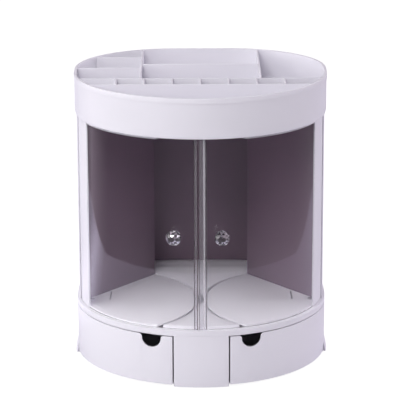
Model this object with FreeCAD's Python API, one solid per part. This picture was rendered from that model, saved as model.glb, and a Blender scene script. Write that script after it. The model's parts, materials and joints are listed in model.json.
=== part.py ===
import FreeCAD, Part
import math
import os

# Countertop cosmetics cabinet: a D-shaped base with two fan drawers, a cabinet with two clear-fronted
# shelf units, and a divided tray on top. Both drawers and both shelf units swing out about upright
# pivots near the sides. Millimetres, +Z up, front towards -Y. The origin lies on the surface that the
# feet stand on, under the axis of the half-round front.

Vector = FreeCAD.Vector

# ---- Plan -----------------------------------------------------------------------------------------
half_width = 129.2            # front radius of the base and of the tray
side_straight = 18.0          # straight stretch of each side, behind the half-round front
back_half_flat = 30.0         # half the flat stretch of the back
corner_radius = half_width - back_half_flat
back_depth = side_straight + corner_radius

# ---- Heights --------------------------------------------------------------------------------------
foot_height = 1.8
base_floor = 1.6              # thickness of the base's floor
base_wall_height = 51.6       # base floor's top to the deck
deck_height = 5.8             # deck's rim
cabinet_height = 195.9        # deck's top to the tray
tray_height = 40.5
running_gap = 0.6             # deck's top to the shelf units
drawer_lift = 0.3             # base floor's top to the drawers
drawer_gap = 1.0              # drawers' top to the deck
unit_head_gap = 0.5           # shelf units' top to the tray

base_bottom = foot_height
base_floor_top = base_bottom + base_floor
deck_bottom = base_floor_top + base_wall_height
deck_top = deck_bottom + deck_height
tray_bottom = deck_top + cabinet_height
tray_top = tray_bottom + tray_height

# ---- Walls ----------------------------------------------------------------------------------------
base_wall = 2.5
deck_thickness = 2.5          # deck's sunk middle
deck_rim_width = 8.5
floor_recess = 8.0            # base floor's front edge, behind the drawers' faces
cabinet_inset = 2.2           # cabinet's side, in from the base's side
cabinet_wall = 2.5
unit_inset = 3.0              # door's outer face, in from the base's side
door_thickness = 3.0
unit_plate = 2.0              # shelf units' floor and ceiling
lining_thickness = 1.5
unit_wall = 2.0
drawer_wall = 2.0
drawer_front_thickness = 2.5
tray_wall = 2.6
tray_floor = 2.4
divider_thickness = 1.8

# ---- Clearances -----------------------------------------------------------------------------------
glue_gap = 0.1
drop_in_gap = 0.15
loose_gap = 0.3
pin_fit = 0.02                # fixed pin in its hole
running_fit = 0.05            # turning pin in its bush
swing_clearance = 0.5         # fixed walls to the rounds that the moving walls sweep
floor_gap = 3.2               # shelf floor's round edge to the fixed floor
pillar_gap = 1.3              # drawers to the centre pillar
seam_gap = 1.2                # between the doors' free edges
seam_shift = 2.6              # the seam, left of the middle
unit_middle_gap = 4.8         # shelf floor's free edge to the middle plane
drawer_sweep_gap = 0.5        # drawer's rear round, inside its straight side

# ---- Pivots ---------------------------------------------------------------------------------------
pivot_inset = 11.8            # pivot axis, in from the base's side
pivot_angle = 15.8            # degrees in front of the widest line
pin_radius = 2.5
pin_head_radius = 3.6
pin_head_height = 1.0
bush_wall = 1.7
bush_flange = 2.3             # how far a bush's flange stands out
boss_wall = 3.0               # plastic round a bush
pin_depth = 4.2               # pin's reach into a bush
unit_hinge_round = 15.0       # shelf unit's walls behind the pivot stay inside this
drawer_hinge_round = 17.0
back_wall_angle = 52.0        # shelf unit's back wall, from the X axis
back_wall_offset = 4.0        # its front face, behind the pivot
drawer_back_angle = 58.0
drawer_back_offset = 8.0
stile_reach = 20.4            # white stile, forward of the pivot

pivot_radius = half_width - pivot_inset
pivot_x = -pivot_radius * math.cos(math.radians(pivot_angle))
pivot_y = -pivot_radius * math.sin(math.radians(pivot_angle))
bush_bore = pin_radius + running_fit
bush_radius = pin_radius + bush_wall
bush_flange_radius = bush_radius + bush_flange
boss_radius = bush_radius + boss_wall

# ---- Centre pillar and drawers --------------------------------------------------------------------
pillar_half_width = 27.5
pillar_depth = 60.0
drawer_side_drop = 6.0        # side walls, lower than the drawer's front
notch_centre = 50.0           # finger notch, from the middle
notch_radius = 9.4
notch_depth = 12.8
notch_shoulder = 3.4          # round at the notch's shoulders
plinth_flare = 2.5
plinth_height = 11.0

# ---- Tray -----------------------------------------------------------------------------------------
rim_band_height = 5.5
rim_band_step = 0.5
tray_tuck = 0.9               # how far the tray's lower edge turns in
tray_tuck_height = 3.0
tray_step_inset = 2.4         # inside step at the foot of the tray's wall
tray_step_height = 9.3
divider_drop = 0.5            # divider tops, below the rim
rack_front_y = -60.0          # middle of the rack's front wall
rack_depth = 28.0             # middle of the front wall to middle of the rear wall
slot_pitch = 28.3
slot_divider_count = 7
bay_wall_x = 61.0             # middle of each wall that runs to the back
left_cross_y = [20.0, 73.5]
centre_cross_y = 38.0

# ---- Doors and knobs ------------------------------------------------------------------------------
door_bead_left = 3.0          # width of the left door's thickened free edge
door_bead_right = 7.0         # and of the right door's
door_bead_depth = 1.8
knob_angle_left = 11.5        # degrees from the seam
knob_angle_right = 8.9
knob_sides = 10
knob_profile = [(0.0, 3.6), (3.5, 6.8), (7.0, 7.8), (11.0, 6.2), (13.5, 3.4)]   # reach, radius
collar_length = 3.0
collar_foot_radius = 5.0
collar_neck_radius = 3.4
knob_screw_radius = 1.5
knob_screw_head_radius = 3.2
knob_screw_head_height = 1.6
knob_screw_bite = 6.0         # screw's reach into the crystal

# ---- Slot in each shelf floor ---------------------------------------------------------------------
slot_width = 1.4
slot_length = 30.0
slot_from_pivot = 18.6        # sideways from the pivot

# ---- Fasteners and feet ---------------------------------------------------------------------------
column_radius = 5.0
column_root = 1.0             # how far a column runs into the wall beside it
side_column_y = 6.0
rear_column_angle = 55.0
deck_column_x = 50.0
deck_column_y = 88.0
pillar_boss_inset = 25.0
screw_radius = 1.6
screw_head_radius = 3.5
screw_head_height = 1.5
screw_length = 12.0
foot_radius = 8.0
front_foot = (70.0, -80.0)
rear_foot = (65.0, 75.0)

# ---- Worked out once ------------------------------------------------------------------------------
unit_sweep = -pivot_x - unit_middle_gap
drawer_sweep = -pivot_x - pillar_half_width - pillar_gap - drawer_sweep_gap
door_outer = half_width - unit_inset
door_inner = door_outer - door_thickness
unit_bottom = deck_top + running_gap
unit_floor_top = unit_bottom + unit_plate
unit_top = tray_bottom - unit_head_gap
unit_ceiling_bottom = unit_top - unit_plate
drawer_bottom = base_floor_top + drawer_lift
drawer_top = deck_bottom - drawer_gap
drawer_floor_top = drawer_bottom + drawer_wall
tray_floor_top = tray_bottom + tray_floor
deck_floor_top = deck_bottom + deck_thickness
bush_bottom = drawer_top + loose_gap
far = 4.0 * half_width        # larger than the whole part

nodes = {}


# ---- Helpers --------------------------------------------------------------------------------------
def cylinder(radius, bottom, top, x=0.0, y=0.0):
    return Part.makeCylinder(radius, top - bottom, Vector(x, y, bottom))


def block(x_low, x_high, y_low, y_high, bottom, top):
    return Part.makeBox(x_high - x_low, y_high - y_low, top - bottom, Vector(x_low, y_low, bottom))


def at_pivot(radius, bottom, top):
    return cylinder(radius, bottom, top, pivot_x, pivot_y)


def mirrored(shape):
    return shape.mirror(Vector(0, 0, 0), Vector(1, 0, 0))


def both(shape):
    return [shape, mirrored(shape)]


def cut_all(shape, tools):
    for tool in tools:
        shape = shape.cut(tool)
    return shape


def fuse_all(shapes):
    whole = shapes[0]
    for shape in shapes[1:]:
        whole = whole.fuse(shape)
    return whole.removeSplitter()


def plan_wire(inset, z):
    """D-shaped outline: half-round front, straight sides, round rear corners and a flat back."""
    front = half_width - inset
    rear = corner_radius - inset
    slant = rear * math.sqrt(0.5)
    right_corner = Vector(back_half_flat, side_straight, z)
    left_corner = Vector(-back_half_flat, side_straight, z)
    right_foot = Vector(front, 0, z)
    left_foot = Vector(-front, 0, z)
    right_side = Vector(front, side_straight, z)
    left_side = Vector(-front, side_straight, z)
    right_back = right_corner + Vector(0, rear, 0)
    left_back = left_corner + Vector(0, rear, 0)
    edges = [
        Part.Arc(left_foot, Vector(0, -front, z), right_foot).toShape(),
        Part.makeLine(right_foot, right_side),
        Part.Arc(right_side, right_corner + Vector(slant, slant, 0), right_back).toShape(),
        Part.makeLine(right_back, left_back),
        Part.Arc(left_back, left_corner + Vector(-slant, slant, 0), left_side).toShape(),
        Part.makeLine(left_side, left_foot),
    ]
    return Part.Wire(edges)


def plan_prism(inset, bottom, top):
    return Part.Face(plan_wire(inset, bottom)).extrude(Vector(0, 0, top - bottom))


def plan_ring(outer_inset, inner_inset, bottom, top):
    return plan_prism(outer_inset, bottom, top).cut(plan_prism(inner_inset, bottom, top))


def front_ring(outer_radius, inner_radius, bottom, top):
    return cylinder(outer_radius, bottom, top).cut(cylinder(inner_radius, bottom, top))


def in_front_of_pivots(bottom, top):
    return block(-far, far, -far, pivot_y, bottom, top)


def beside_back_wall(angle, offset, bottom, top):
    """Everything on the front side of a line at the given angle, a little behind the left pivot."""
    slab = block(-far, far, -far, offset, bottom, top)
    slab.rotate(Vector(0, 0, 0), Vector(0, 0, 1), angle)
    slab.translate(Vector(pivot_x, pivot_y, 0))
    return slab


def fan(outer_radius, sweep_radius, hinge_round, angle, offset, bottom, top):
    """Plan of a swing-out unit: what can turn forward about the left pivot without meeting the rest."""
    disc = cylinder(outer_radius, bottom, top)
    front = in_front_of_pivots(bottom, top)
    sweep = at_pivot(sweep_radius, bottom, top).common(block(pivot_x, far, -far, far, bottom, top))
    sweep = sweep.common(beside_back_wall(angle, offset, bottom, top))
    hinge = at_pivot(hinge_round, bottom, top)
    return disc.common(front.fuse(sweep).fuse(hinge).removeSplitter())


def radial(shape, angle):
    """Lays a shape built up along +Z on the left door, pointing out of it at the knob's height."""
    shape = shape.copy()
    shape.rotate(Vector(0, 0, 0), Vector(1, 0, 0), 90)
    shape.rotate(Vector(0, 0, 0), Vector(0, 0, 1), -angle)
    shape.translate(Vector(0, 0, 0.5 * (unit_bottom + unit_top)))
    return shape


def polygon_wire(radius, z, sides):
    points = []
    for index in range(sides + 1):
        turn = 2.0 * math.pi * index / sides
        points.append(Vector(radius * math.cos(turn), radius * math.sin(turn), z))
    return Part.makePolygon(points)


def screw(x, y, seat, point_up):
    """Pan-head screw; seat is the face its head bears on."""
    direction = 1.0 if point_up else -1.0
    axis = Vector(0, 0, direction)
    shank = Part.makeCylinder(screw_radius, screw_length, Vector(x, y, seat), axis)
    head = Part.makeCylinder(screw_head_radius, screw_head_height, Vector(x, y, seat), axis * -1.0)
    return shank.fuse(head).removeSplitter()


def screw_hole(x, y, bottom, top):
    return cylinder(screw_radius + pin_fit, bottom, top, x, y)


# ---- Places of columns, bosses and screws ---------------------------------------------------------
column_inset = cabinet_inset + cabinet_wall + column_radius - column_root
pillar_boss_x = pillar_half_width - base_wall - column_radius + column_root
rear_reach = corner_radius - column_inset
rear_column_x = back_half_flat + rear_reach * math.cos(math.radians(rear_column_angle))
rear_column_y = side_straight + rear_reach * math.sin(math.radians(rear_column_angle))
shell_columns = []
for side in (-1.0, 1.0):
    shell_columns.append((side * (half_width - column_inset), side_column_y))
    shell_columns.append((side * rear_column_x, rear_column_y))
pillar_boss_y = -(half_width - pillar_boss_inset)
deck_columns = [(-deck_column_x, deck_column_y), (deck_column_x, deck_column_y)]
pillar_bosses = [(-pillar_boss_x, pillar_boss_y), (pillar_boss_x, pillar_boss_y)]


# ---- Base -----------------------------------------------------------------------------------------
def make_base_housing():
    """Floor with side and back walls, open at the front where the drawers and the pillar stand."""
    open_front = in_front_of_pivots(base_bottom, deck_bottom)
    for hinge in both(at_pivot(drawer_hinge_round + swing_clearance, base_bottom, deck_bottom)):
        open_front = open_front.fuse(hinge)
    wall = plan_ring(0.0, base_wall, base_floor_top, deck_bottom).cut(open_front)
    plinth_front = open_front
    for hinge in both(at_pivot(drawer_hinge_round + swing_clearance + plinth_flare,
                               base_bottom, base_bottom + plinth_height)):
        plinth_front = plinth_front.fuse(hinge)
    flared = Part.makeLoft([plan_wire(-plinth_flare, base_bottom),
                            plan_wire(0.0, base_bottom + plinth_height)], True, True)
    plinth = flared.cut(plan_prism(0.0, base_bottom, deck_bottom)).cut(plinth_front)
    reach = pillar_half_width + glue_gap
    lip_space = block(-reach, reach, -far, -half_width + pillar_depth, base_bottom, base_floor_top)
    lip_space = lip_space.cut(cylinder(half_width - base_wall - glue_gap, base_bottom, base_floor_top))
    recess = plan_ring(-plinth_flare, floor_recess, base_bottom, base_floor_top).common(open_front)
    recess = recess.cut(block(-reach, reach, -far, far, base_bottom, base_floor_top))
    recess = cut_all(recess, both(at_pivot(boss_radius, base_bottom, base_floor_top)))
    floor = plan_prism(0.0, base_bottom, base_floor_top).cut(lip_space).cut(recess)
    columns = []
    for x, y in deck_columns:
        columns.append(cylinder(column_radius, base_floor_top, deck_bottom, x, y))
    shape = fuse_all([floor, wall, plinth] + columns)
    for x, y in deck_columns:
        shape = shape.cut(screw_hole(x, y, deck_bottom - screw_length, deck_bottom))
    for hole in both(at_pivot(bush_radius + pin_fit, base_bottom, base_floor_top)):
        shape = shape.cut(hole)
    return shape


def make_centre_pillar():
    """Fixed middle of the base's front: a hollow post between the drawers, which carries the deck."""
    def post(inset, bottom):
        outline = cylinder(half_width - inset, bottom, deck_bottom)
        width = pillar_half_width - inset
        rear = -(half_width - pillar_depth) - inset
        return outline.common(block(-width, width, -far, rear, bottom, deck_bottom))
    shape = post(0.0, base_floor_top).cut(post(base_wall, base_floor_top))
    lip = post(0.0, base_bottom).common(front_ring(half_width, half_width - base_wall,
                                                   base_bottom, base_floor_top))
    bosses = []
    for x, y in pillar_bosses:
        bosses.append(cylinder(column_radius, base_floor_top, deck_bottom, x, y))
    shape = fuse_all([shape, lip] + bosses)
    for x, y in pillar_bosses:
        shape = shape.cut(screw_hole(x, y, deck_bottom - screw_length, deck_bottom))
    return shape


def make_rubber_feet():
    """A foot under each corner and one under the middle of the thin floor."""
    feet = [cylinder(foot_radius, 0.0, foot_height)]
    for x, y in (front_foot, rear_foot):
        feet += both(cylinder(foot_radius, 0.0, foot_height, x, y))
    return Part.makeCompound(feet)


def make_deck_plate():
    """Plate over the drawers: its broad rim carries the cabinet, and its middle is sunk."""
    sunk = plan_prism(deck_rim_width, deck_floor_top, deck_top)
    sunk = cut_all(sunk, both(at_pivot(boss_radius, deck_floor_top, deck_top)))
    for x, y in shell_columns:
        sunk = sunk.cut(cylinder(column_radius, deck_floor_top, deck_top, x, y))
    plate = plan_prism(0.0, deck_bottom, deck_top).cut(sunk)
    shape = fuse_all([plate] + both(at_pivot(boss_radius, bush_bottom, deck_bottom)))
    shape = cut_all(shape, both(at_pivot(bush_radius + pin_fit, bush_bottom, deck_top)))
    for x, y in shell_columns + deck_columns + pillar_bosses:
        shape = shape.cut(screw_hole(x, y, deck_bottom, deck_top))
    return shape


def make_middle_bushes():
    """Flanged bushes in the deck: a shelf unit turns in the top of each, a drawer in the bottom."""
    tube = at_pivot(bush_radius, bush_bottom, deck_top)
    flange = at_pivot(bush_flange_radius, deck_top, unit_bottom)
    bush = tube.fuse(flange).cut(at_pivot(bush_bore, bush_bottom, unit_bottom)).removeSplitter()
    return Part.makeCompound(both(bush))


def make_lower_bushes():
    tube = at_pivot(bush_radius, base_bottom, base_floor_top)
    flange = at_pivot(bush_flange_radius, base_floor_top, drawer_bottom)
    bush = tube.fuse(flange).cut(at_pivot(bush_bore, base_bottom, drawer_bottom)).removeSplitter()
    return Part.makeCompound(both(bush))


def make_upper_bushes():
    bush = at_pivot(bush_radius, tray_bottom, tray_floor_top + pin_depth)
    bush = bush.cut(at_pivot(bush_bore, tray_bottom, tray_floor_top + pin_depth))
    return Part.makeCompound(both(bush))


# ---- Cabinet --------------------------------------------------------------------------------------
def make_centre_floor():
    """Fixed floor between and behind the shelf units, level with theirs, in the deck's sunk middle."""
    inset = max(deck_rim_width, half_width - door_inner + door_bead_depth) + loose_gap
    shape = plan_prism(inset, deck_floor_top, unit_floor_top)
    for sweep in both(at_pivot(unit_sweep + floor_gap, deck_floor_top, unit_floor_top)):
        shape = shape.cut(sweep)
    for x, y in shell_columns:
        shape = shape.cut(cylinder(column_radius + loose_gap, deck_floor_top, unit_floor_top, x, y))
    for x, y in deck_columns + pillar_bosses:
        pocket_top = deck_floor_top + screw_head_height + loose_gap
        shape = shape.cut(cylinder(screw_head_radius + loose_gap, deck_floor_top, pocket_top, x, y))
    return shape


def make_cabinet_shell():
    """Side and back walls with screw columns; the shelf units close its front."""
    shell = plan_ring(cabinet_inset, cabinet_inset + cabinet_wall, deck_top, tray_bottom)
    shell = shell.cut(in_front_of_pivots(deck_top, tray_bottom))
    for hinge in both(at_pivot(unit_hinge_round + swing_clearance, deck_top, tray_bottom)):
        shell = shell.cut(hinge)
    columns = []
    for x, y in shell_columns:
        columns.append(cylinder(column_radius, deck_top, tray_bottom, x, y))
    shape = fuse_all([shell] + columns)
    for x, y in shell_columns:
        shape = shape.cut(screw_hole(x, y, deck_top, deck_top + screw_length))
        shape = shape.cut(screw_hole(x, y, tray_bottom - screw_length, tray_bottom))
    return shape


def make_back_lining():
    """Smoke-grey panel on the inside of the back, between the rear columns."""
    outer = cabinet_inset + cabinet_wall + glue_gap
    ring = plan_ring(outer, outer + lining_thickness, deck_top, tray_bottom - loose_gap)
    reach = rear_column_x - column_radius - loose_gap
    return ring.common(block(-reach, reach, side_straight, far, deck_top, tray_bottom))


# ---- Tray -----------------------------------------------------------------------------------------
def tray_pocket(gap):
    step_top = tray_floor_top + tray_step_height
    lower = plan_prism(tray_wall + tray_step_inset + gap, tray_floor_top, step_top)
    upper = plan_prism(tray_wall + gap, step_top, tray_top)
    return lower.fuse(upper).removeSplitter()


def make_tray_shell():
    band_bottom = tray_top - rim_band_height
    tuck_top = tray_bottom + tray_tuck_height
    foot = Part.makeLoft([plan_wire(rim_band_step + tray_tuck, tray_bottom),
                          plan_wire(rim_band_step, tuck_top)], True, True)
    outer = fuse_all([foot, plan_prism(rim_band_step, tuck_top, band_bottom),
                      plan_prism(0.0, band_bottom, tray_top)])
    shape = outer.cut(tray_pocket(0.0))
    boss_top = tray_floor_top + pin_depth + loose_gap
    shape = fuse_all([shape] + both(at_pivot(boss_radius, tray_floor_top, boss_top)))
    bush_top = tray_floor_top + pin_depth
    shape = cut_all(shape, both(at_pivot(bush_radius + pin_fit, tray_bottom, bush_top)))
    for x, y in shell_columns:
        shape = shape.cut(screw_hole(x, y, tray_bottom, tray_floor_top))
    return shape


divider_bottom = tray_floor_top
divider_top = tray_top - divider_drop
half_divider = 0.5 * divider_thickness
rack_rear_y = rack_front_y + rack_depth


def divider_plate(x_low, x_high, y_low, y_high):
    plate = block(x_low, x_high, y_low, y_high, divider_bottom, divider_top)
    plate = plate.common(tray_pocket(drop_in_gap))
    for boss in both(at_pivot(boss_radius + loose_gap, divider_bottom, tray_floor_top + 2.0 * pin_depth)):
        plate = plate.cut(boss)
    return plate


def make_rack_front_wall():
    return divider_plate(-far, far, rack_front_y - half_divider, rack_front_y + half_divider)


def make_rack_rear_wall():
    return divider_plate(-far, far, rack_rear_y - half_divider, rack_rear_y + half_divider)


def make_slot_dividers():
    plates = []
    for index in range(slot_divider_count):
        x = (index - 0.5 * (slot_divider_count - 1)) * slot_pitch
        plates.append(divider_plate(x - half_divider, x + half_divider,
                                    rack_front_y + half_divider, rack_rear_y - half_divider))
    return Part.makeCompound(plates)


def make_bay_wall(x):
    return divider_plate(x - half_divider, x + half_divider, rack_rear_y + half_divider, far)


def make_left_cross_dividers():
    plates = []
    for y in left_cross_y:
        plates.append(divider_plate(-far, -bay_wall_x - half_divider, y - half_divider, y + half_divider))
    return Part.makeCompound(plates)


def make_centre_cross_divider():
    reach = bay_wall_x - half_divider
    return divider_plate(-reach, reach, centre_cross_y - half_divider, centre_cross_y + half_divider)


# ---- Swing-out shelf unit, left ------------------------------------------------------------------
def unit_plan(bottom, top):
    shape = fan(door_inner - glue_gap, unit_sweep, unit_hinge_round, back_wall_angle,
                back_wall_offset + unit_wall, bottom, top)
    return shape.common(at_pivot(unit_sweep, bottom, top))


def make_swing_stile():
    """White strip beside the pivot, which carries the door and closes the joint to the cabinet's side."""
    ring = front_ring(door_outer, door_inner, unit_bottom, unit_top)
    ring = ring.common(block(-far, 0.0, pivot_y - stile_reach, far, unit_bottom, unit_top))
    outline = in_front_of_pivots(unit_bottom, unit_top)
    return ring.common(outline.fuse(at_pivot(unit_hinge_round, unit_bottom, unit_top))).removeSplitter()


def make_swing_floor():
    """Shelf floor; its round front meets the stile and the door."""
    shape = unit_plan(unit_bottom, unit_floor_top)
    slot_x = pivot_x + slot_from_pivot
    slot = block(slot_x, slot_x + slot_width, pivot_y, pivot_y + slot_length, unit_bottom, unit_floor_top)
    shape = shape.cut(slot)
    return shape.cut(at_pivot(pin_radius + pin_fit, unit_bottom, unit_floor_top))


def make_swing_wall():
    """Upright back wall of the shelf unit, from the stile to the floor's free edge."""
    wall = block(-2.0 * unit_hinge_round, unit_sweep, back_wall_offset, back_wall_offset + unit_wall,
                 unit_floor_top, unit_ceiling_bottom)
    wall.rotate(Vector(0, 0, 0), Vector(0, 0, 1), back_wall_angle)
    wall.translate(Vector(pivot_x, pivot_y, 0))
    wall = wall.common(cylinder(door_inner - glue_gap, unit_floor_top, unit_ceiling_bottom))
    return wall.common(at_pivot(unit_sweep, unit_floor_top, unit_ceiling_bottom))


def make_swing_ceiling():
    plate = unit_plan(unit_ceiling_bottom, unit_top)
    return plate.cut(at_pivot(pin_radius + pin_fit, unit_ceiling_bottom, unit_top))


def make_door(knob_angle, seam, bead_width):
    """Clear curved front with a thickened free edge and a hole for the knob's screw."""
    sheet = front_ring(door_outer, door_inner, unit_bottom, unit_top)
    edge = seam - 0.5 * seam_gap
    front_edge = pivot_y - stile_reach - glue_gap
    sheet = sheet.common(block(-far, edge, -far, front_edge, unit_bottom, unit_top))
    bead = front_ring(door_outer, door_inner - door_bead_depth, unit_bottom, unit_top)
    bead = bead.common(block(edge - bead_width, edge, -far, 0.0, unit_bottom, unit_top))
    hole = radial(Part.makeCylinder(knob_screw_radius + glue_gap, far), knob_angle)
    return sheet.fuse(bead).removeSplitter().cut(hole)


def make_swing_pins():
    """Headed pivot pins through the shelf unit's floor and ceiling."""
    lower = at_pivot(pin_radius, unit_bottom - pin_depth, unit_floor_top)
    lower = lower.fuse(at_pivot(pin_head_radius, unit_floor_top, unit_floor_top + pin_head_height))
    upper = at_pivot(pin_radius, unit_ceiling_bottom, tray_floor_top + pin_depth - loose_gap)
    head = at_pivot(pin_head_radius, unit_ceiling_bottom - pin_head_height, unit_ceiling_bottom)
    return Part.makeCompound([lower.removeSplitter(), upper.fuse(head).removeSplitter()])


def make_knob_crystal(knob_angle):
    seat = door_outer + glue_gap + collar_length
    wires = []
    for reach, radius in knob_profile:
        wires.append(polygon_wire(radius, seat + reach, knob_sides))
    crystal = Part.makeLoft(wires, True, True)
    hole = Part.makeCylinder(knob_screw_radius + pin_fit, knob_screw_bite, Vector(0, 0, seat))
    return radial(crystal.cut(hole), knob_angle)


def make_knob_collar(knob_angle):
    seat = door_outer + glue_gap
    collar = Part.makeCone(collar_foot_radius, collar_neck_radius, collar_length, Vector(0, 0, seat))
    hole = Part.makeCylinder(knob_screw_radius + pin_fit, collar_length, Vector(0, 0, seat))
    return radial(collar.cut(hole), knob_angle)


def make_knob_screw(knob_angle):
    under_head = door_inner - glue_gap
    tip = door_outer + glue_gap + collar_length + knob_screw_bite - glue_gap
    shank = Part.makeCylinder(knob_screw_radius, tip - under_head, Vector(0, 0, under_head))
    head = Part.makeCylinder(knob_screw_head_radius, knob_screw_head_height,
                             Vector(0, 0, under_head - knob_screw_head_height))
    return radial(shank.fuse(head).removeSplitter(), knob_angle)


# ---- Drawer, left ---------------------------------------------------------------------------------
def drawer_plan(inset, bottom, top):
    shape = fan(half_width - inset, drawer_sweep - inset, drawer_hinge_round - inset,
                drawer_back_angle, drawer_back_offset - inset, bottom, top)
    right_edge = -pillar_half_width - pillar_gap - inset
    return shape.common(block(-far, right_edge, -far, far, bottom, top))


def finger_notch():
    """Half-round cut in the drawer front's top edge, with rounded shoulders."""
    centre_z = drawer_top - notch_depth + notch_radius
    shoulder = min(notch_shoulder, 0.9 * (drawer_top - centre_z))
    reach = notch_radius + shoulder
    along = Vector(0, -1, 0)
    start_y = -0.5 * half_width
    depth = half_width
    round_cut = Part.makeCylinder(notch_radius, depth, Vector(-notch_centre, start_y, centre_z), along)
    neck = block(-notch_centre - notch_radius, -notch_centre + notch_radius, start_y - depth, start_y,
                 centre_z, drawer_top + notch_radius)
    wide = block(-notch_centre - reach, -notch_centre + reach, start_y - depth, start_y,
                 drawer_top - shoulder, drawer_top)
    for side in (-1.0, 1.0):
        corner = Vector(-notch_centre + side * reach, start_y, drawer_top - shoulder)
        wide = wide.cut(Part.makeCylinder(shoulder, depth, corner, along))
    return fuse_all([round_cut, neck, wide])


def make_drawer():
    body_top = drawer_top - drawer_side_drop
    body = drawer_plan(0.0, drawer_bottom, body_top)
    front = front_ring(half_width, half_width - drawer_front_thickness, drawer_bottom, drawer_top)
    front = front.common(drawer_plan(0.0, drawer_bottom, drawer_top))
    cavity = drawer_plan(drawer_wall, drawer_floor_top, drawer_top)
    cavity = cavity.common(cylinder(half_width - drawer_front_thickness, drawer_floor_top, drawer_top))
    boss = at_pivot(boss_radius, drawer_bottom, drawer_top)
    boss = boss.common(cylinder(half_width, drawer_bottom, drawer_top))
    shape = fuse_all([body.fuse(front).cut(cavity), boss])
    shape = shape.cut(finger_notch())
    pin_hole = pin_radius + pin_fit
    shape = shape.cut(at_pivot(pin_hole, drawer_bottom, drawer_bottom + 2.0 * pin_depth))
    return shape.cut(at_pivot(pin_hole, drawer_top - 2.0 * pin_depth, drawer_top))


def make_drawer_pins():
    lower = at_pivot(pin_radius, base_bottom + loose_gap, drawer_bottom + 2.0 * pin_depth - pin_fit)
    upper = at_pivot(pin_radius, drawer_top - 2.0 * pin_depth + pin_fit, drawer_top + 0.6 * pin_depth)
    return Part.makeCompound([lower, upper])


# ---- Screws ---------------------------------------------------------------------------------------
def make_screws(places, seat, point_up):
    screws = []
    for x, y in places:
        screws.append(screw(x, y, seat, point_up))
    return Part.makeCompound(screws)


# ---- The parts ------------------------------------------------------------------------------------
nodes["rubber_feet"] = make_rubber_feet()
nodes["base_housing"] = make_base_housing()
nodes["centre_pillar"] = make_centre_pillar()
nodes["lower_bushes"] = make_lower_bushes()
nodes["deck_plate"] = make_deck_plate()
nodes["middle_bushes"] = make_middle_bushes()
nodes["centre_floor"] = make_centre_floor()
nodes["cabinet_shell"] = make_cabinet_shell()
nodes["back_lining"] = make_back_lining()
nodes["tray_shell"] = make_tray_shell()
nodes["upper_bushes"] = make_upper_bushes()
nodes["rack_front_wall"] = make_rack_front_wall()
nodes["rack_rear_wall"] = make_rack_rear_wall()
nodes["slot_dividers"] = make_slot_dividers()
nodes["left_bay_wall"] = make_bay_wall(-bay_wall_x)
nodes["right_bay_wall"] = make_bay_wall(bay_wall_x)
nodes["left_cross_dividers"] = make_left_cross_dividers()
nodes["centre_cross_divider"] = make_centre_cross_divider()
nodes["deck_screws"] = make_screws(deck_columns + pillar_bosses, deck_floor_top, False)
nodes["shell_screws"] = make_screws(shell_columns, deck_bottom, True)
nodes["tray_screws"] = make_screws(shell_columns, tray_floor_top, False)

swinging = {
    "swing_floor": make_swing_floor(),
    "swing_wall": make_swing_wall(),
    "swing_stile": make_swing_stile(),
    "swing_ceiling": make_swing_ceiling(),
    "swing_pins": make_swing_pins(),
    "drawer": make_drawer(),
    "drawer_pins": make_drawer_pins(),
}
for name, shape in swinging.items():
    nodes[name + "_left"] = shape
    nodes[name + "_right"] = mirrored(shape)

knob_parts = {
    "knob_crystal": make_knob_crystal,
    "knob_collar": make_knob_collar,
    "knob_screw": make_knob_screw,
}
for name, make in knob_parts.items():
    nodes[name + "_left"] = make(knob_angle_left)
    nodes[name + "_right"] = mirrored(make(knob_angle_right))
nodes["door_left"] = make_door(knob_angle_left, -seam_shift, door_bead_left)
nodes["door_right"] = mirrored(make_door(knob_angle_right, seam_shift, door_bead_right))

os.makedirs("parts", exist_ok=True)
for name, shape in nodes.items():
    shape.exportStep("parts/" + name + ".step")
    print(name, "solids", len(shape.Solids), "valid", shape.isValid(), "volume", round(shape.Volume, 1))
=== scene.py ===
import json
import math

import bmesh
import bpy
from mathutils import Matrix, Vector

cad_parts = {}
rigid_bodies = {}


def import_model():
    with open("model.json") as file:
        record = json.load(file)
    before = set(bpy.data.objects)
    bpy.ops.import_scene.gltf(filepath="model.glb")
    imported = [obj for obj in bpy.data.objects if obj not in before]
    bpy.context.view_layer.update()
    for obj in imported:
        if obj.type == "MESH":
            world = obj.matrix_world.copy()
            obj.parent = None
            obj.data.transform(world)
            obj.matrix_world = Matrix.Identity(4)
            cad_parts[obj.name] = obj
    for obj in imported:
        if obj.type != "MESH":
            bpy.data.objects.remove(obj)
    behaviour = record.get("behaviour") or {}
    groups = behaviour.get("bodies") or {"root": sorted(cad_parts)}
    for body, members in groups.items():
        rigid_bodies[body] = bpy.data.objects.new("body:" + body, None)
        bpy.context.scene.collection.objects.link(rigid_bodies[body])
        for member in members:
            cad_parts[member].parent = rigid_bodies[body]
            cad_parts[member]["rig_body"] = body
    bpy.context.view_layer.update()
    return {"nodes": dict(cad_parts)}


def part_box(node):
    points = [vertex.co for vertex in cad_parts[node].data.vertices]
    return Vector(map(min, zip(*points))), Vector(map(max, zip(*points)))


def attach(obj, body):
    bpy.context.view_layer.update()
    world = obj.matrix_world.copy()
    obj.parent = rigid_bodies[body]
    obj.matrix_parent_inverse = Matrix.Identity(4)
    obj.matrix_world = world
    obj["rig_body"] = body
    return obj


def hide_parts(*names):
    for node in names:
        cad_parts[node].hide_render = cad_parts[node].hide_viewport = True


# Looks of the D-shaped cosmetics cabinet. Metres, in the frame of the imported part: +Z up, front towards -Y.

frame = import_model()
MM = 0.001

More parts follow.
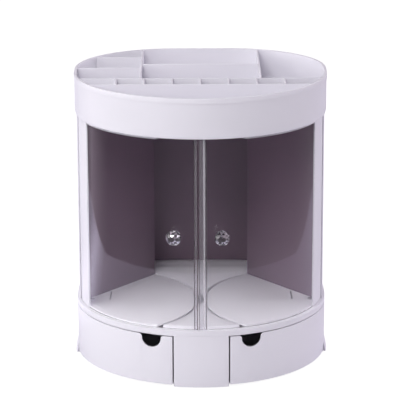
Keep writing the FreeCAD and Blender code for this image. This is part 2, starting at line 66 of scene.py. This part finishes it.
# ---- Sizes that the looks share with the part --------------------------------------------------
DOOR_OUTER = 126.2 * MM               # doors' outer face, from the front's axis
DOOR_THICKNESS = 3.0 * MM
BEAD_WIDTHS = {"left": 3.0 * MM, "right": 7.0 * MM}    # thickened free edges
BEAD_DEPTH = 1.8 * MM
BEAD_SLOPE = 0.7 * MM                 # width of the slope from a bead to the door's inner face
BEAD_INNER_ROUND = 0.9 * MM
BEAD_OUTER_ROUND = 0.6 * MM
BEAD_TAIL = 5.0 * MM                  # sheet drawn past a bead, to set its slope
INNER_ARC_GAP = 2.0 * MM              # bead to the first point of the inner face's arc
OUTER_ARC_GAP = 1.6 * MM              # free edge to the last point of the outer face's arc
DOOR_CHAMFER = 0.25 * MM
DOOR_STEPS = 90
COLLAR_REACH = 3.1 * MM               # from the door's outer face to the crystal's seat
KNOB_ANGLES = {"left": math.radians(11.5), "right": math.radians(8.9)}
CRYSTAL_SIDES = 8
CRYSTAL_CUT = [                       # reach, radius, turn in half steps
    (0.0, 4.2, 0.0), (3.2, 6.9, 1.0), (6.0, 7.8, 0.0), (7.6, 7.8, 1.0), (10.2, 6.6, 0.0), (12.2, 4.9, 1.0),
    (13.5, 2.6, 0.0),
]

# ---- Mesh finish -------------------------------------------------------------------------------
SMOOTH_ANGLE = math.radians(32.0)     # edges sharper than this are rounded or stay sharp
COPLANAR_ANGLE = math.radians(0.4)    # faces flatter to each other than this are joined
FACET_ANGLE = math.radians(1.0)       # the same, on a crystal
WELD_DISTANCE = 0.002 * MM
ROUNDING_SEGMENTS = 3
CORNER_STEPS = 5

# ---- Camera ------------------------------------------------------------------------------------
CAMERA_PLACE = (-0.0008, -2.2000, 0.7667)
CAMERA_ROLL = math.radians(-0.2)
CAMERA_PITCH = math.radians(15.4)
FOCAL_PIXELS = 2200.0
FRAME_PIXELS = 400.0
SENSOR_MM = 36.0
CAMERA_REACH = 20.0

# ---- Colours, linear ---------------------------------------------------------------------------
WHITE = (0.83, 0.82, 0.865)
# painted light: the same white plastic, made lighter on the inner floors to stand for more light reaching
# them
PAINTED_LIT_FLOOR_WHITE = (0.92, 0.905, 0.945)
# smoke-grey plastic with painted shade: darkened to stand for the shade inside the cabinet under the tray
SMOKE_AND_SHADE = (0.205, 0.145, 0.190)
STEEL = (0.62, 0.62, 0.64)
CHROME = (0.88, 0.88, 0.90)
BUSH = (0.70, 0.70, 0.72)
RUBBER = (0.02, 0.02, 0.022)

# ---- Doors' strips at the seam: place in mm left or right of the middle, colour, clearness -----
CLEAR = (0.985, 0.985, 0.99)
CLOUDED = (0.84, 0.83, 0.87)
# painted shade: the dark strips beside the seam stand for the shade in the gap between the doors
SEAM_PAINTED_SHADE = (0.10, 0.07, 0.085)
BAND_REACH = 12.0 * MM
SEAM_BANDS = [
    (-6.6, CLEAR, 1.0), (-6.3, CLOUDED, 0.95), (-4.1, CLOUDED, 0.95), (-3.8, SEAM_PAINTED_SHADE, 0.5),
    (-1.6, SEAM_PAINTED_SHADE, 0.5), (-1.3, CLOUDED, 0.95), (2.4, CLOUDED, 0.95), (2.7, CLOUDED, 0.66),
    (3.6, CLOUDED, 0.66), (3.9, CLOUDED, 0.95), (5.1, CLOUDED, 0.95), (5.4, CLEAR, 1.0),
]

# ---- Clear materials, mottling and grain -------------------------------------------------------
ACRYLIC_IOR = 1.49
CRYSTAL_IOR = 1.75
# painted reflections: each crystal facet gets a level that paints it light or dark, standing for a cut
# crystal's glints and dark reflections
PAINTED_FACET_REFLECTION = "painted_facet_reflection"
FACET_REFLECTION_LEVELS = (1.0, 0.1, 0.9, 0.3, 1.0, 0.0, 0.7, 1.0, 0.2, 0.95, 0.5)
FACET_STRIDE = 7                      # so that facets side by side get unlike levels
FACET_PAINTED_DARK = (0.16, 0.15, 0.17, 1.0)
SILVER_FROM = 0.85                    # facets lighter than this are silvered
SILVER_MOST = 0.8
MOTTLE_SCALE = 14.0
MOTTLE_DETAIL = 3.0
MOTTLE_RANGE = (0.3, 0.7)             # noise levels of the darker and the plain colour
GRAIN_SCALE = 900.0
GRAIN_DETAIL = 2.0
ACRYLIC_GRAIN = 60.0
CRYSTAL_GRAIN = 300.0
EVEN = (1.0, 1.0, 1.0)                # grain alike in all directions
UPRIGHT = (1.0, 1.0, 0.03)            # grain drawn out along Z
CLEAR_RELIEF = 0.004
RELIEF_DEPTH = 0.2 * MM

# ---- Room --------------------------------------------------------------------------------------
FLOOR_HALF = 6.0
FLOOR_DROP = 0.4 * MM
TABLE_ROUND = 0.51                    # what the glossy faces mirror: a round-fronted white table
TABLE_FLARE = math.radians(21.0)      # its sides, which spread towards the back
TABLE_BACK = 3.0
TABLE_STEPS = 48
PAPER = (0.80, 0.80, 0.80, 1.0)
SEEN_PAPER = (0.25, 0.25, 0.25, 1.0)  # paper before the camera: what of it takes the shadow
SEEN_GLOW = 0.92                      # and what it gives by itself
PLAIN_WHITE = (1.0, 1.0, 1.0, 1.0)

# How bright the floor, table and room are when mirrored. X and Y are places on the table, and parts
# of the mirrored ray's direction in the room.
MIRRORED_TINT = (1.0, 0.92, 1.18, 1.0)
FLOOR_MIRRORED = 0.03
TABLE_MIRRORED = 0.60
TABLE_MIRRORED_RIGHT = 0.42
TABLE_DIMS = (0.15, 0.35)             # X over which the table dims to its level on the right
TABLE_GLEAM = 0.75                    # added on the table's left, beside the part
TABLE_GLEAM_RISE = (0.02, 0.12)       # Y over which it rises
TABLE_GLEAM_FALL = (0.16, 0.27)       # and falls
TABLE_GLEAM_SIDE = (-0.25, -0.10)     # X over which it goes from full to its share on the right
TABLE_GLEAM_RIGHT = 0.0
ROOM_TINT = (1.0, 0.84, 1.0, 1.0)
ROOM_LOW = 0.05                       # below the horizon
ROOM_HIGH = 0.25                      # above it
HORIZON = 0.02
ROOM_GLEAM = 1.15                     # added behind the part on the left
ROOM_GLEAM_RISE = (0.12, 0.60)
ROOM_GLEAM_FALL = (0.53, 0.61)
ROOM_GLEAM_SIDE = (-0.2, 0.2)
ROOM_GLEAM_RIGHT = 0.25

# ---- Lamps -------------------------------------------------------------------------------------
AMBIENT = (0.99, 0.925, 1.06, 1.0)
AMBIENT_LEVEL = 0.385
PLAIN_LIGHT = (1.0, 1.0, 1.0)
SHADE_TINT = (1.0, 0.93, 1.04)
PART_MIDDLE = (0.0, 0.0, 0.15)
KNOBS_MIDDLE = (0.0, -0.13, 0.16)
LAMPS = [                             # name, place, aim, side of the square, watts, colour
    ("left", (-1.70, -0.45, 0.75), PART_MIDDLE, 1.0, 7.2, PLAIN_LIGHT),
    ("key", (-1.60, -0.80, 0.95), PART_MIDDLE, 0.9, 3.2, PLAIN_LIGHT),
    ("front", (-0.60, -1.30, 1.65), PART_MIDDLE, 1.1, 15.0, PLAIN_LIGHT),
    ("right", (1.80, 0.15, 0.70), PART_MIDDLE, 1.0, 4.4, SHADE_TINT),
    ("right_back", (1.50, 0.90, 0.80), PART_MIDDLE, 1.0, 9.0, SHADE_TINT),
    ("left_back", (-1.50, 0.90, 0.80), PART_MIDDLE, 1.0, 5.4, PLAIN_LIGHT),
    ("sparkle", (-0.55, -1.75, 1.25), KNOBS_MIDDLE, 0.22, 1.6, PLAIN_LIGHT),
]


# ---- Node helpers ------------------------------------------------------------------------------
def new_material(name):
    material = bpy.data.materials.new(name)
    material.use_nodes = True
    material.node_tree.nodes.clear()
    return material


def add(tree, kind, **values):
    """Adds a node; a value whose name is a socket sets that socket, any other sets a property."""
    node = tree.nodes.new(kind)
    for key, value in values.items():
        socket = key.replace("_", " ")
        if socket in node.inputs:
            node.inputs[socket].default_value = value
        else:
            setattr(node, key, value)
    return node


def link(tree, source, output, target, socket):
    tree.links.new(source.outputs[output], target.inputs[socket])


def ranged(tree, source, output, start, end, low, high):
    """Changes evenly from low to high while the source goes from start to end."""
    level = add(tree, "ShaderNodeMapRange")
    level.inputs["From Min"].default_value = start
    level.inputs["From Max"].default_value = end
    level.inputs["To Min"].default_value = low
    level.inputs["To Max"].default_value = high
    link(tree, source, output, level, "Value")
    return level


def combined(tree, operation, first, second):
    result = add(tree, "ShaderNodeMath", operation=operation)
    link(tree, first, 0, result, 0)
    link(tree, second, 0, result, 1)
    return result


def compared(tree, operation, source, output):
    """One where the source's value is above, or below, a half."""
    test = add(tree, "ShaderNodeMath", operation=operation)
    test.inputs[1].default_value = 0.5
    link(tree, source, output, test, 0)
    return test


def mixed(tree, factor, output, first, second):
    mix = add(tree, "ShaderNodeMixShader")
    link(tree, factor, output, mix, "Fac")
    link(tree, first, 0, mix, 1)
    link(tree, second, 0, mix, 2)
    return mix


def split_axes(tree, output):
    place = add(tree, "ShaderNodeTexCoord")
    axes = add(tree, "ShaderNodeSeparateXYZ")
    link(tree, place, output, axes, "Vector")
    return axes


def stretched_noise(tree, scale, detail, stretch):
    place = add(tree, "ShaderNodeTexCoord")
    mapping = add(tree, "ShaderNodeMapping")
    mapping.inputs["Scale"].default_value = stretch
    noise = add(tree, "ShaderNodeTexNoise", Scale=scale, Detail=detail)
    link(tree, place, "Object", mapping, "Vector")
    link(tree, mapping, "Vector", noise, "Vector")
    return noise


def fine_grain(tree, shader, grain, stretch, relief, smoothest, roughest):
    """Roughness that wanders between two levels, and a fine surface relief."""
    fine = stretched_noise(tree, grain, GRAIN_DETAIL, stretch)
    link(tree, ranged(tree, fine, "Fac", 0.0, 1.0, smoothest, roughest), "Result", shader, "Roughness")
    bump = add(tree, "ShaderNodeBump", Strength=relief, Distance=RELIEF_DEPTH)
    link(tree, fine, "Fac", bump, "Height")
    link(tree, bump, "Normal", shader, "Normal")


def shade(colour, factor):
    return (colour[0] * factor, colour[1] * factor, colour[2] * factor, 1.0)


def surface(name, colour, roughness, spread=0.04, mottle=0.02, relief=0.02, **fixed):
    """A moulded or metal surface with faint mottling."""
    material = new_material(name)
    tree = material.node_tree
    shader = add(tree, "ShaderNodeBsdfPrincipled", **fixed)
    output = add(tree, "ShaderNodeOutputMaterial")
    ramp = add(tree, "ShaderNodeValToRGB")
    for mark, position, factor in zip(ramp.color_ramp.elements, MOTTLE_RANGE, (1.0 - mottle, 1.0)):
        mark.position = position
        mark.color = shade(colour, factor)
    link(tree, stretched_noise(tree, MOTTLE_SCALE, MOTTLE_DETAIL, EVEN), "Fac", ramp, "Fac")
    link(tree, ramp, "Color", shader, "Base Color")
    fine_grain(tree, shader, GRAIN_SCALE, EVEN, relief, roughness - spread, roughness + spread)
    link(tree, shader, "BSDF", output, "Surface")
    return material


def colour_along_x(tree, stops, column):
    """Ramp over the object's own X, from the rows of SEAM_BANDS."""
    axes = split_axes(tree, "Object")
    ramp = add(tree, "ShaderNodeValToRGB")
    link(tree, ranged(tree, axes, "X", -BAND_REACH, BAND_REACH, 0.0, 1.0), "Result", ramp, "Fac")
    marks = ramp.color_ramp.elements
    while len(marks) < len(stops):
        marks.new(0.5)
    for mark, stop in zip(marks, stops):
        mark.position = 0.5 + 0.5 * stop[0] * MM / BAND_REACH
        value = stop[column]
        mark.color = (*value, 1.0) if column == 1 else (value, value, value, 1.0)
    return ramp


def facet_painted_reflections(tree, shader):
    """Facets of a cut crystal with painted reflections: each painted lighter or darker than the next, for a
    cut crystal's glints and dark reflections; the lightest silvered behind.
    """
    reflection_level = add(tree, "ShaderNodeAttribute", attribute_name=PAINTED_FACET_REFLECTION)
    ramp = add(tree, "ShaderNodeValToRGB")
    ramp.color_ramp.elements[0].color = FACET_PAINTED_DARK
    ramp.color_ramp.elements[1].color = PLAIN_WHITE
    silver = ranged(tree, reflection_level, "Fac", SILVER_FROM, 1.0, 0.0, SILVER_MOST)
    link(tree, reflection_level, "Fac", ramp, "Fac")
    link(tree, ramp, "Color", shader, "Base Color")
    link(tree, silver, "Result", shader, "Metallic")


def clear_surface(name, ior, roughest, grain, stretch, bands=(), faceted=False):
    """Clear plastic or crystal that lets lamp light through to what stands behind it."""
    material = new_material(name)
    tree = material.node_tree
    shader = add(tree, "ShaderNodeBsdfPrincipled", IOR=ior)
    shader.inputs["Base Color"].default_value = (*CLEAR, 1.0)
    shader.inputs["Transmission Weight"].default_value = 1.0
    if bands:
        # the doors' colour and clearness follow the seam strips, the dark ones painted shade of the gap
        link(tree, colour_along_x(tree, bands, 1), "Color", shader, "Base Color")
        link(tree, colour_along_x(tree, bands, 2), "Color", shader, "Transmission Weight")
    if faceted:
        facet_painted_reflections(tree, shader)
    fine_grain(tree, shader, grain, stretch, CLEAR_RELIEF, 0.0, roughest)
    rays = add(tree, "ShaderNodeLightPath")
    passing = add(tree, "ShaderNodeBsdfTransparent")
    output = add(tree, "ShaderNodeOutputMaterial")
    link(tree, mixed(tree, rays, "Is Shadow Ray", shader, passing), "Shader", output, "Surface")
    return material


# ---- Mesh helpers ------------------------------------------------------------------------------
def smooth_faces(mesh):
    for polygon in mesh.polygons:
        polygon.use_smooth = True
    mesh.set_sharp_from_angle(angle=SMOOTH_ANGLE)


def place_piece(obj, body, material):
    bpy.context.scene.collection.objects.link(obj)
    obj.data.materials.clear()
    obj.data.materials.append(material)
    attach(obj, body)


def body_of(node):
    return frame["nodes"][node]["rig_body"]


def softened(node, width, material):
    """Stands in for a CAD node: the same shape with its sharp edges rounded as a moulding's are."""
    mesh = frame["nodes"][node].data.copy()
    mesh.name = "soft_" + node
    shape = bmesh.new()
    shape.from_mesh(mesh)
    bmesh.ops.remove_doubles(shape, verts=shape.verts, dist=WELD_DISTANCE)
    bmesh.ops.dissolve_limit(shape, angle_limit=COPLANAR_ANGLE, verts=shape.verts, edges=shape.edges)
    shape.to_mesh(mesh)
    shape.free()
    obj = bpy.data.objects.new("soft_" + node, mesh)
    place_piece(obj, body_of(node), material)
    bevel = obj.modifiers.new("rounding", "BEVEL")
    bevel.width = width
    bevel.segments = ROUNDING_SEGMENTS
    bevel.limit_method = "ANGLE"
    bevel.angle_limit = SMOOTH_ANGLE
    bevel.use_clamp_overlap = True
    bpy.context.view_layer.update()
    evaluated = obj.evaluated_get(bpy.context.evaluated_depsgraph_get())
    rounded = bpy.data.meshes.new_from_object(evaluated)
    obj.modifiers.clear()
    obj.data = rounded
    smooth_faces(rounded)
    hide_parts(node)


def rounded_path(corners):
    """Points along an outline whose corners, given as (x, y, radius), are rounded."""
    points = []
    count = len(corners)
    for index, (x, y, radius) in enumerate(corners):
        here = Vector((x, y))
        before = (Vector(corners[index - 1][:2]) - here).normalized()
        after = (Vector(corners[(index + 1) % count][:2]) - here).normalized()
        if radius == 0.0:
            points.append(here)
            continue
        half = 0.5 * before.angle(after)
        centre = here + (before + after).normalized() * (radius / math.sin(half))
        start = here + before * (radius / math.tan(half)) - centre
        end = here + after * (radius / math.tan(half)) - centre
        sweep = start.angle_signed(end)
        for step in range(CORNER_STEPS + 1):
            turn = Matrix.Rotation(-sweep * step / CORNER_STEPS, 2)
            points.append(centre + turn @ start)
    return points


def upright_prism(name, outline, low, high, edge):
    """Closed prism over a plan outline that runs counter-clockwise, with a small chamfer at both ends."""
    count = len(outline)
    shape = bmesh.new()
    rings = []
    for height, inset in ((low, edge), (low + edge, 0.0), (high - edge, 0.0), (high, edge)):
        ring = []
        for index, point in enumerate(outline):
            along = (outline[(index + 1) % count] - outline[index - 1]).normalized()
            inward = Vector((-along.y, along.x))
            place = point + inward * inset
            ring.append(shape.verts.new((place.x, place.y, height)))
        rings.append(ring)
    for lower, upper in zip(rings, rings[1:]):
        for index in range(count):
            after = (index + 1) % count
            shape.faces.new((lower[index], lower[after], upper[after], upper[index]))
    shape.faces.new(reversed(rings[0]))
    shape.faces.new(rings[-1])
    bmesh.ops.recalc_face_normals(shape, faces=shape.faces)
    mesh = bpy.data.meshes.new(name)
    shape.to_mesh(mesh)
    shape.free()
    return mesh


def clear_door(side, material):
    """Curved clear sheet, evenly faceted so that it bends light as a true cylinder does."""
    low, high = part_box("door_" + side)
    sign = -1.0 if side == "left" else 1.0
    free_edge = high.x if side == "left" else low.x
    seam_angle = math.asin(sign * free_edge / DOOR_OUTER)
    depth = DOOR_THICKNESS + BEAD_DEPTH
    width = BEAD_WIDTHS[side]
    foot = width + BEAD_SLOPE
    tail = width + BEAD_TAIL
    corners = [
        (0.0, 0.0, BEAD_OUTER_ROUND), (0.0, depth, BEAD_INNER_ROUND), (width, depth, BEAD_INNER_ROUND),
        (foot, DOOR_THICKNESS, BEAD_OUTER_ROUND), (tail, DOOR_THICKNESS, 0.0), (tail, 0.0, 0.0),
    ]
    bead = rounded_path(corners)[:-2]
    inner = DOOR_OUTER - DOOR_THICKNESS
    inner_start = seam_angle + (width + INNER_ARC_GAP) / DOOR_OUTER
    inner_end = math.acos(-high.y / inner)
    outer_end = math.acos(-high.y / DOOR_OUTER)
    outer_start = seam_angle + OUTER_ARC_GAP / DOOR_OUTER
    polar = []
    for point in bead:
        polar.append((seam_angle + point.x / DOOR_OUTER, DOOR_OUTER - point.y))
    for step in range(DOOR_STEPS + 1):
        polar.append((inner_start + (inner_end - inner_start) * step / DOOR_STEPS, inner))
    for step in range(DOOR_STEPS + 1):
        polar.append((outer_end + (outer_start - outer_end) * step / DOOR_STEPS, DOOR_OUTER))
    outline = [Vector((sign * r * math.sin(a), -r * math.cos(a))) for a, r in polar]
    if sign > 0.0:
        outline.reverse()
    mesh = upright_prism("clear_door_" + side, outline, low.z, high.z, DOOR_CHAMFER)
    obj = bpy.data.objects.new("clear_door_" + side, mesh)
    place_piece(obj, body_of("door_" + side), material)
    smooth_faces(mesh)
    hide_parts("door_" + side)


def crystal(side, material):
    """Cut crystal head, facet by facet, on the knob's collar."""
    shape = bmesh.new()
    step = 2.0 * math.pi / CRYSTAL_SIDES
    for reach, radius, half_steps in CRYSTAL_CUT:
        for index in range(CRYSTAL_SIDES):
            angle = (index + 0.5 * half_steps) * step
            shape.verts.new((radius * MM * math.cos(angle), radius * MM * math.sin(angle), reach * MM))
    hull = bmesh.ops.convex_hull(shape, input=shape.verts)
    bmesh.ops.delete(shape, geom=hull["geom_interior"], context="VERTS")
    bmesh.ops.dissolve_limit(shape, angle_limit=FACET_ANGLE, verts=shape.verts, edges=shape.edges)
    bmesh.ops.recalc_face_normals(shape, faces=shape.faces)
    mesh = bpy.data.meshes.new("cut_crystal_" + side)
    shape.to_mesh(mesh)
    shape.free()
    reflection_levels = mesh.attributes.new(PAINTED_FACET_REFLECTION, "FLOAT", "FACE")
    # painted reflections: a light or dark level for each facet
    for polygon in mesh.polygons:
        polygon.use_smooth = False
        level = FACET_REFLECTION_LEVELS[(FACET_STRIDE * polygon.index) % len(FACET_REFLECTION_LEVELS)]
        reflection_levels.data[polygon.index].value = level
    sign = -1.0 if side == "left" else 1.0
    low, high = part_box("door_" + side)
    height = 0.5 * (low.z + high.z)
    turn = Matrix.Rotation(sign * KNOB_ANGLES[side], 4, "Z") @ Matrix.Rotation(math.radians(90.0), 4, "X")
    seat = Matrix.Translation((0.0, 0.0, DOOR_OUTER + COLLAR_REACH))
    mesh.transform(Matrix.Translation((0.0, 0.0, height)) @ turn @ seat)
    obj = bpy.data.objects.new("cut_crystal_" + side, mesh)
    place_piece(obj, body_of("knob_crystal_" + side), material)
    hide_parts("knob_crystal_" + side)


# ---- Materials ---------------------------------------------------------------------------------
white = surface("white_plastic", WHITE, roughness=0.30)
painted_lit_floor_white = surface("white_plastic_painted_floor_light", PAINTED_LIT_FLOOR_WHITE, roughness=0.30)
smoke_and_shade = surface("smoke_plastic", SMOKE_AND_SHADE, roughness=0.42, mottle=0.05)
steel = surface("plain_steel", STEEL, roughness=0.32, Metallic=1.0)
chrome = surface("bright_chrome", CHROME, roughness=0.07, spread=0.02, mottle=0.01, Metallic=1.0)
bush_plastic = surface("bush_plastic", BUSH, roughness=0.45)
rubber = surface("rubber", RUBBER, roughness=0.75, mottle=0.15, relief=0.2)
acrylic = clear_surface("clear_acrylic", ACRYLIC_IOR, 0.02, ACRYLIC_GRAIN, UPRIGHT, bands=SEAM_BANDS)
cut_glass = clear_surface("cut_crystal", CRYSTAL_IOR, 0.01, CRYSTAL_GRAIN, EVEN, faceted=True)

# ---- Pieces ------------------------------------------------------------------------------------
WHITE_EDGES = {                       # rounding of the edges, in mm
    "tray_shell": 0.7, "deck_plate": 0.6, "base_housing": 0.7, "centre_pillar": 0.8, "cabinet_shell": 0.5,
    "centre_floor": 0.3, "rack_front_wall": 0.5, "rack_rear_wall": 0.5, "slot_dividers": 0.5,
    "left_bay_wall": 0.5, "right_bay_wall": 0.5, "left_cross_dividers": 0.5, "centre_cross_divider": 0.5,
}
UNIT_EDGES = {"drawer_": 0.9, "swing_stile_": 0.5, "swing_floor_": 0.4, "swing_ceiling_": 0.4}
LINING_EDGE = 0.3
WALL_EDGE = 0.4
COLLAR_EDGE = 0.3

for side in ("left", "right"):
    for start, edge in UNIT_EDGES.items():
        WHITE_EDGES[start + side] = edge
for node, edge in WHITE_EDGES.items():
    # the inner floors get the lighter copy of the white plastic: painted light
    inner_floor = node == "centre_floor" or node.startswith("swing_floor")
    softened(node, edge * MM, painted_lit_floor_white if inner_floor else white)

# back lining and inner walls: smoke-grey, darkened with painted shade of the cabinet's inside
softened("back_lining", LINING_EDGE * MM, smoke_and_shade)
for side in ("left", "right"):
    softened("swing_wall_" + side, WALL_EDGE * MM, smoke_and_shade)
    softened("knob_collar_" + side, COLLAR_EDGE * MM, chrome)
    clear_door(side, acrylic)
    crystal(side, cut_glass)

CAD_FINISHES = {
    "rubber_feet": rubber, "lower_bushes": bush_plastic, "middle_bushes": bush_plastic,
    "upper_bushes": bush_plastic, "deck_screws": steel, "shell_screws": steel, "tray_screws": steel,
}
for side in ("left", "right"):
    CAD_FINISHES["swing_pins_" + side] = steel
    CAD_FINISHES["drawer_pins_" + side] = steel
    CAD_FINISHES["knob_screw_" + side] = chrome
for node, material in CAD_FINISHES.items():
    mesh = frame["nodes"][node].data
    mesh.materials.clear()
    mesh.materials.append(material)


# ---- Stage -------------------------------------------------------------------------------------
def stage_sheet(name, outline, height, material):
    """Flat sheet of the stage with the given plan outline."""
    shape = bmesh.new()
    shape.faces.new([shape.verts.new((x, y, height)) for x, y in outline])
    mesh = bpy.data.meshes.new(name)
    shape.to_mesh(mesh)
    shape.free()
    mesh.materials.append(material)
    sheet = bpy.data.objects.new(name, mesh)
    bpy.context.scene.collection.objects.link(sheet)
    return sheet


def gleam(tree, axes, rise, fall, side, level, right_share):
    """A patch of light that rises and falls along Y, and thins out towards the right."""
    rising = ranged(tree, axes, "Y", *rise, 0.0, level)
    falling = ranged(tree, axes, "Y", *fall, 1.0, 0.0)
    on_left = ranged(tree, axes, "X", *side, 1.0, right_share)
    return combined(tree, "MULTIPLY", combined(tree, "MULTIPLY", rising, falling), on_left)


def paper_material(name):
    """White paper: plain to the light, and pale enough for the camera to see little but the shadow."""
    material = new_material(name)
    tree = material.node_tree
    rays = add(tree, "ShaderNodeLightPath")
    plain = add(tree, "ShaderNodeBsdfDiffuse", Color=PAPER)
    seen = add(tree, "ShaderNodeBsdfDiffuse", Color=SEEN_PAPER)
    glow = add(tree, "ShaderNodeEmission", Color=PLAIN_WHITE, Strength=SEEN_GLOW)
    bright = add(tree, "ShaderNodeAddShader")
    link(tree, seen, "BSDF", bright, 0)
    link(tree, glow, "Emission", bright, 1)
    direct = add(tree, "ShaderNodeMath", operation="MAXIMUM")
    link(tree, rays, "Is Camera Ray", direct, 0)
    link(tree, rays, "Is Transmission Ray", direct, 1)
    unscattered = compared(tree, "LESS_THAN", rays, "Diffuse Depth")
    before_camera = combined(tree, "MULTIPLY", direct, unscattered)
    lit = mixed(tree, before_camera, "Value", plain, bright)
    mirrored = add(tree, "ShaderNodeEmission", Color=MIRRORED_TINT, Strength=FLOOR_MIRRORED)
    mirrored.name = "mirrored"
    reflected = compared(tree, "GREATER_THAN", rays, "Glossy Depth")
    output = add(tree, "ShaderNodeOutputMaterial")
    link(tree, mixed(tree, reflected, "Value", lit, mirrored), "Shader", output, "Surface")
    return material


def table_material():
    """The floor's paper, brighter when mirrored, and brightest beside the part on the left."""
    material = paper_material("table_paper")
    tree = material.node_tree
    axes = split_axes(tree, "Object")
    plain = ranged(tree, axes, "X", *TABLE_DIMS, TABLE_MIRRORED, TABLE_MIRRORED_RIGHT)
    patch = gleam(tree, axes, TABLE_GLEAM_RISE, TABLE_GLEAM_FALL, TABLE_GLEAM_SIDE, TABLE_GLEAM,
                  TABLE_GLEAM_RIGHT)
    link(tree, combined(tree, "ADD", plain, patch), "Value", tree.nodes["mirrored"], "Strength")
    return material


def make_floor():
    """Wide white floor, and on it the table that the glossy faces mirror."""
    square = [(x * FLOOR_HALF, y * FLOOR_HALF) for x, y in ((-1, -1), (1, -1), (1, 1), (-1, 1))]
    wide = stage_sheet("floor", square, -FLOOR_DROP, paper_material("floor_paper"))
    wide.visible_glossy = False
    back_half_width = TABLE_ROUND + TABLE_BACK * math.tan(TABLE_FLARE)
    outline = [(back_half_width, TABLE_BACK), (-back_half_width, TABLE_BACK)]
    for step in range(TABLE_STEPS + 1):
        turn = math.pi * step / TABLE_STEPS
        outline.append((-TABLE_ROUND * math.cos(turn), -TABLE_ROUND * math.sin(turn)))
    stage_sheet("table", outline, 0.0, table_material())


def make_world():
    """Soft light all round; white to the camera; to glossy faces a dark room with a gleam behind it."""
    world = bpy.data.worlds.new("studio")
    world.use_nodes = True
    tree = world.node_tree
    tree.nodes.clear()
    rays = add(tree, "ShaderNodeLightPath")
    axes = split_axes(tree, "Generated")
    plain = add(tree, "ShaderNodeBackground", Color=AMBIENT, Strength=AMBIENT_LEVEL)
    seen = add(tree, "ShaderNodeBackground", Color=PLAIN_WHITE, Strength=1.0)
    room = add(tree, "ShaderNodeBackground", Color=ROOM_TINT)
    level = ranged(tree, axes, "Z", -HORIZON, HORIZON, ROOM_LOW, ROOM_HIGH)
    patch = gleam(tree, axes, ROOM_GLEAM_RISE, ROOM_GLEAM_FALL, ROOM_GLEAM_SIDE, ROOM_GLEAM,
                  ROOM_GLEAM_RIGHT)
    link(tree, combined(tree, "ADD", level, patch), "Value", room, "Strength")
    reflected = compared(tree, "GREATER_THAN", rays, "Glossy Depth")
    scattered = compared(tree, "GREATER_THAN", rays, "Diffuse Depth")
    unlit = mixed(tree, reflected, "Value", seen, room)
    output = add(tree, "ShaderNodeOutputWorld")
    link(tree, mixed(tree, scattered, "Value", unlit, plain), "Shader", output, "Surface")
    bpy.context.scene.world = world


def add_lamp(name, place, aim, side, power, colour):
    lamp = bpy.data.lights.new(name, "AREA")
    lamp.shape = "SQUARE"
    lamp.size = side
    lamp.energy = power
    lamp.color = colour
    obj = bpy.data.objects.new(name, lamp)
    obj.location = place
    obj.rotation_euler = (Vector(aim) - Vector(place)).to_track_quat("-Z", "Y").to_euler()
    bpy.context.scene.collection.objects.link(obj)


def make_camera():
    data = bpy.data.cameras.new("camera")
    data.sensor_width = SENSOR_MM
    data.lens = SENSOR_MM * FOCAL_PIXELS / FRAME_PIXELS
    data.clip_end = CAMERA_REACH
    camera = bpy.data.objects.new("camera", data)
    camera.location = CAMERA_PLACE
    tilt = Matrix.Rotation(math.radians(90.0) - CAMERA_PITCH, 3, "X")
    camera.rotation_euler = (tilt @ Matrix.Rotation(CAMERA_ROLL, 3, "Z")).to_euler()
    bpy.context.scene.collection.objects.link(camera)
    bpy.context.scene.camera = camera


make_floor()
make_world()
for lamp_row in LAMPS:
    add_lamp(*lamp_row)
make_camera()

scene = bpy.context.scene
scene.view_settings.view_transform = "Standard"
